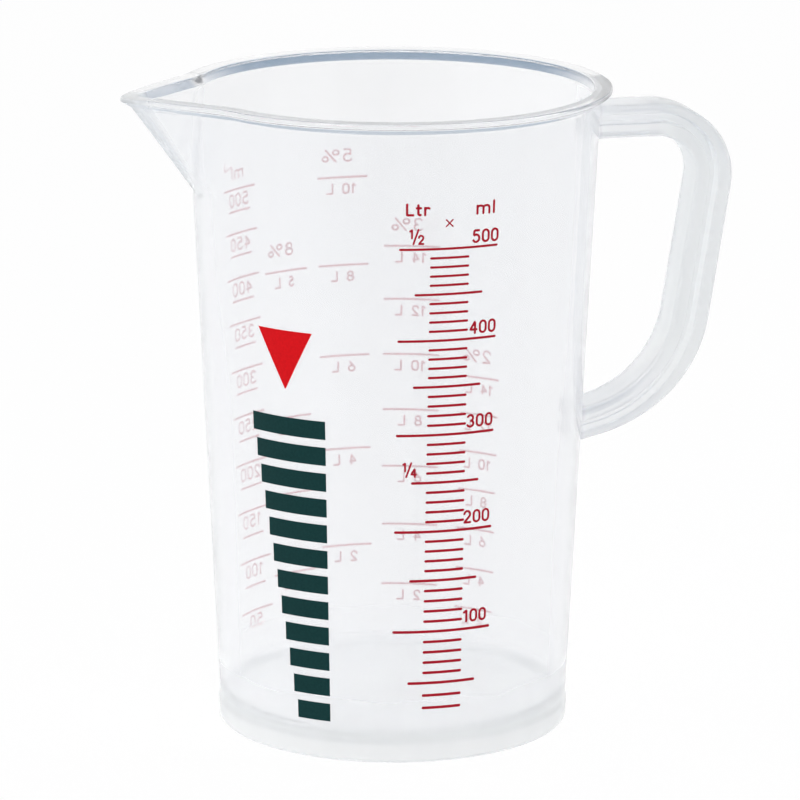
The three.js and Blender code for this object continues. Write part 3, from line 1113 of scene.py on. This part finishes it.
@dataclass
class Studio:
    """Floor, white surroundings, soft lamps and the camera."""

    focal_px: float = 5400.0
    distance: float = 1122.4
    eye_height: float = 345.6
    pitch: float = 13.812
    yaw: float = 0.071
    roll: float = 0.195
    azimuth: float = -13.45
    image_px: float = 800.0
    sensor: float = 36.0
    around: float = 0.75          # light of the surroundings on the object
    glare: str = "fdfdff"
    room: str = "6787a4"          # colour of the room over the white sweep
    room_span: tuple[float, float] = (0.2, 0.62)  # rise of a seen ray from white to the room
    shown_white: float = 0.93     # share of the floor that seen rays find plain white
    floor_half: float = 4000.0
    lamps: tuple = (              # name, place and side in metres, watts
        ("window_left", (-0.9, -0.9, 0.9), 0.6, 5.0),
        ("window_right", (1.1, -0.2, 0.8), 0.5, 3.0),
    )
    lamp_aim: tuple[float, float, float] = (0.0, 0.0, 0.07)

    def camera(self) -> None:
        """Sets up the camera from its place round the cup's axis, pitch, yaw and roll."""
        az, pitch, yaw, roll = turn(row(self.azimuth, self.pitch, self.yaw, self.roll))
        back = row(np.sin(az), -np.cos(az), 0.0)
        aside = row(np.cos(az), np.sin(az), 0.0)
        level = np.sin(yaw) * aside - np.cos(yaw) * back
        ahead = np.cos(pitch) * level - row(0.0, 0.0, np.sin(pitch))
        right = np.cos(yaw) * aside + np.sin(yaw) * back
        up = np.cross(right, ahead)
        x = np.cos(roll) * right + np.sin(roll) * up
        y = np.cos(roll) * up - np.sin(roll) * right
        eye = back * self.distance + row(AXIS_X, 0.0, self.eye_height)
        data = bpy.data.cameras.new("camera")
        data.sensor_width = self.sensor
        data.lens = self.focal_px * self.sensor / self.image_px
        data.clip_end = 50.0
        camera = bpy.data.objects.new("camera", data)
        matrix = np.eye(4)
        matrix[:3, 0], matrix[:3, 1], matrix[:3, 2], matrix[:3, 3] = x, y, -ahead, eye * METRES
        camera.matrix_world = Matrix(matrix.tolist())
        bpy.context.scene.collection.objects.link(camera)
        bpy.context.scene.camera = camera

    def seen_rays(self, tree: bpy.types.NodeTree) -> bpy.types.NodeSocket:
        """Returns 1 for rays that come from the camera, a reflection or through clear plastic."""
        path = put(tree, "LightPath")
        seen = path.outputs["Is Camera Ray"]
        for ray in ("Is Glossy Ray", "Is Transmission Ray"):
            most = put(tree, "Math", {0: seen, 1: path.outputs[ray]}, operation="MAXIMUM")
            seen = most.outputs[0]
        return seen

    def surroundings(self) -> None:
        """Room: for seen rays white up to a little over the horizon and blue-grey above it."""
        world = bpy.data.worlds.new("white_surroundings")
        bpy.context.scene.world = world
        world.use_nodes = True
        tree = world.node_tree
        tree.nodes.clear()
        way = put(tree, "TexCoord").outputs["Generated"]
        height = put(tree, "SeparateXYZ", {0: way}).outputs["Z"]
        ramp = put(tree, "ValToRGB", {"Fac": height})
        stops = zip(ramp.color_ramp.elements, self.room_span, ("ffffff", self.room))
        for stop, place, colour in stops:
            stop.position, stop.color = place, srgb(colour)
        white = put(tree, "Background", {"Color": ramp, "Strength": 1.0})
        light = put(tree, "Background", {"Color": srgb(self.glare), "Strength": self.around})
        mix = put(tree, "MixShader", {0: self.seen_rays(tree), 1: light, 2: white})
        put(tree, "OutputWorld", {"Surface": mix})

    def floor(self) -> bpy.types.Object:
        """White floor that goes over into the surroundings and keeps a faint shadow."""
        side = row(-1.0, 1.0, 1.0, -1.0) * self.floor_half
        corners = np.stack([side, np.roll(side, 1), 0.0 * side], -1)
        plane = fill("floor", corners, [np.arange(4)[None]])
        material, tree = fresh_material("white_floor")
        paint = put(tree, "BsdfDiffuse", {"Color": srgb("ffffff")})
        white = put(tree, "Emission", {"Color": srgb("ffffff"), "Strength": 1.0})
        seen = self.seen_rays(tree)
        share = put(tree, "Math", {0: seen, 1: self.shown_white}, operation="MULTIPLY")
        mix = put(tree, "MixShader", {0: share, 1: paint, 2: white})
        put(tree, "OutputMaterial", {"Surface": mix})
        plane.data.materials.append(material)
        return plane

    def lamp(self, name: str, place: tuple[float, float, float], size: float, watts: float) -> None:
        """Adds a square softbox that looks at the jug.

        Args:
            name: Its name.
            place: Its place in metres.
            size: Its side in metres.
            watts: Its power.
        """
        data = bpy.data.lights.new(name, "AREA")
        data.shape, data.size, data.energy = "SQUARE", size, watts
        lamp = bpy.data.objects.new(name, data)
        lamp.location = place
        aim = row(*self.lamp_aim) - row(*place)
        lamp.rotation_euler = Vector(aim.tolist()).to_track_quat("-Z", "Y").to_euler()
        bpy.context.scene.collection.objects.link(lamp)

    def build(self) -> None:
        """Builds camera, surroundings, floor and lamps."""
        bpy.context.scene.view_settings.view_transform = "Standard"
        self.camera()
        self.surroundings()
        self.floor()
        for lamp in self.lamps:
            self.lamp(*lamp)


def main() -> None:
    """Builds the jug, its prints and the studio, and reports each piece."""
    logging.basicConfig(level=logging.INFO, format="%(message)s")
    cup = Cup()
    pieces = [Jug(cup, Handle(cup)).build(), FrontScale(cup).build(), BackScales(cup).build()]
    pieces += LevelRamp(cup).build()
    for piece in pieces:
        piece.data.calc_loop_triangles()
        LOG.info("%s: %d triangles", piece.name, len(piece.data.loop_triangles))
    Studio().build()


if __name__ == "__main__":
    main()
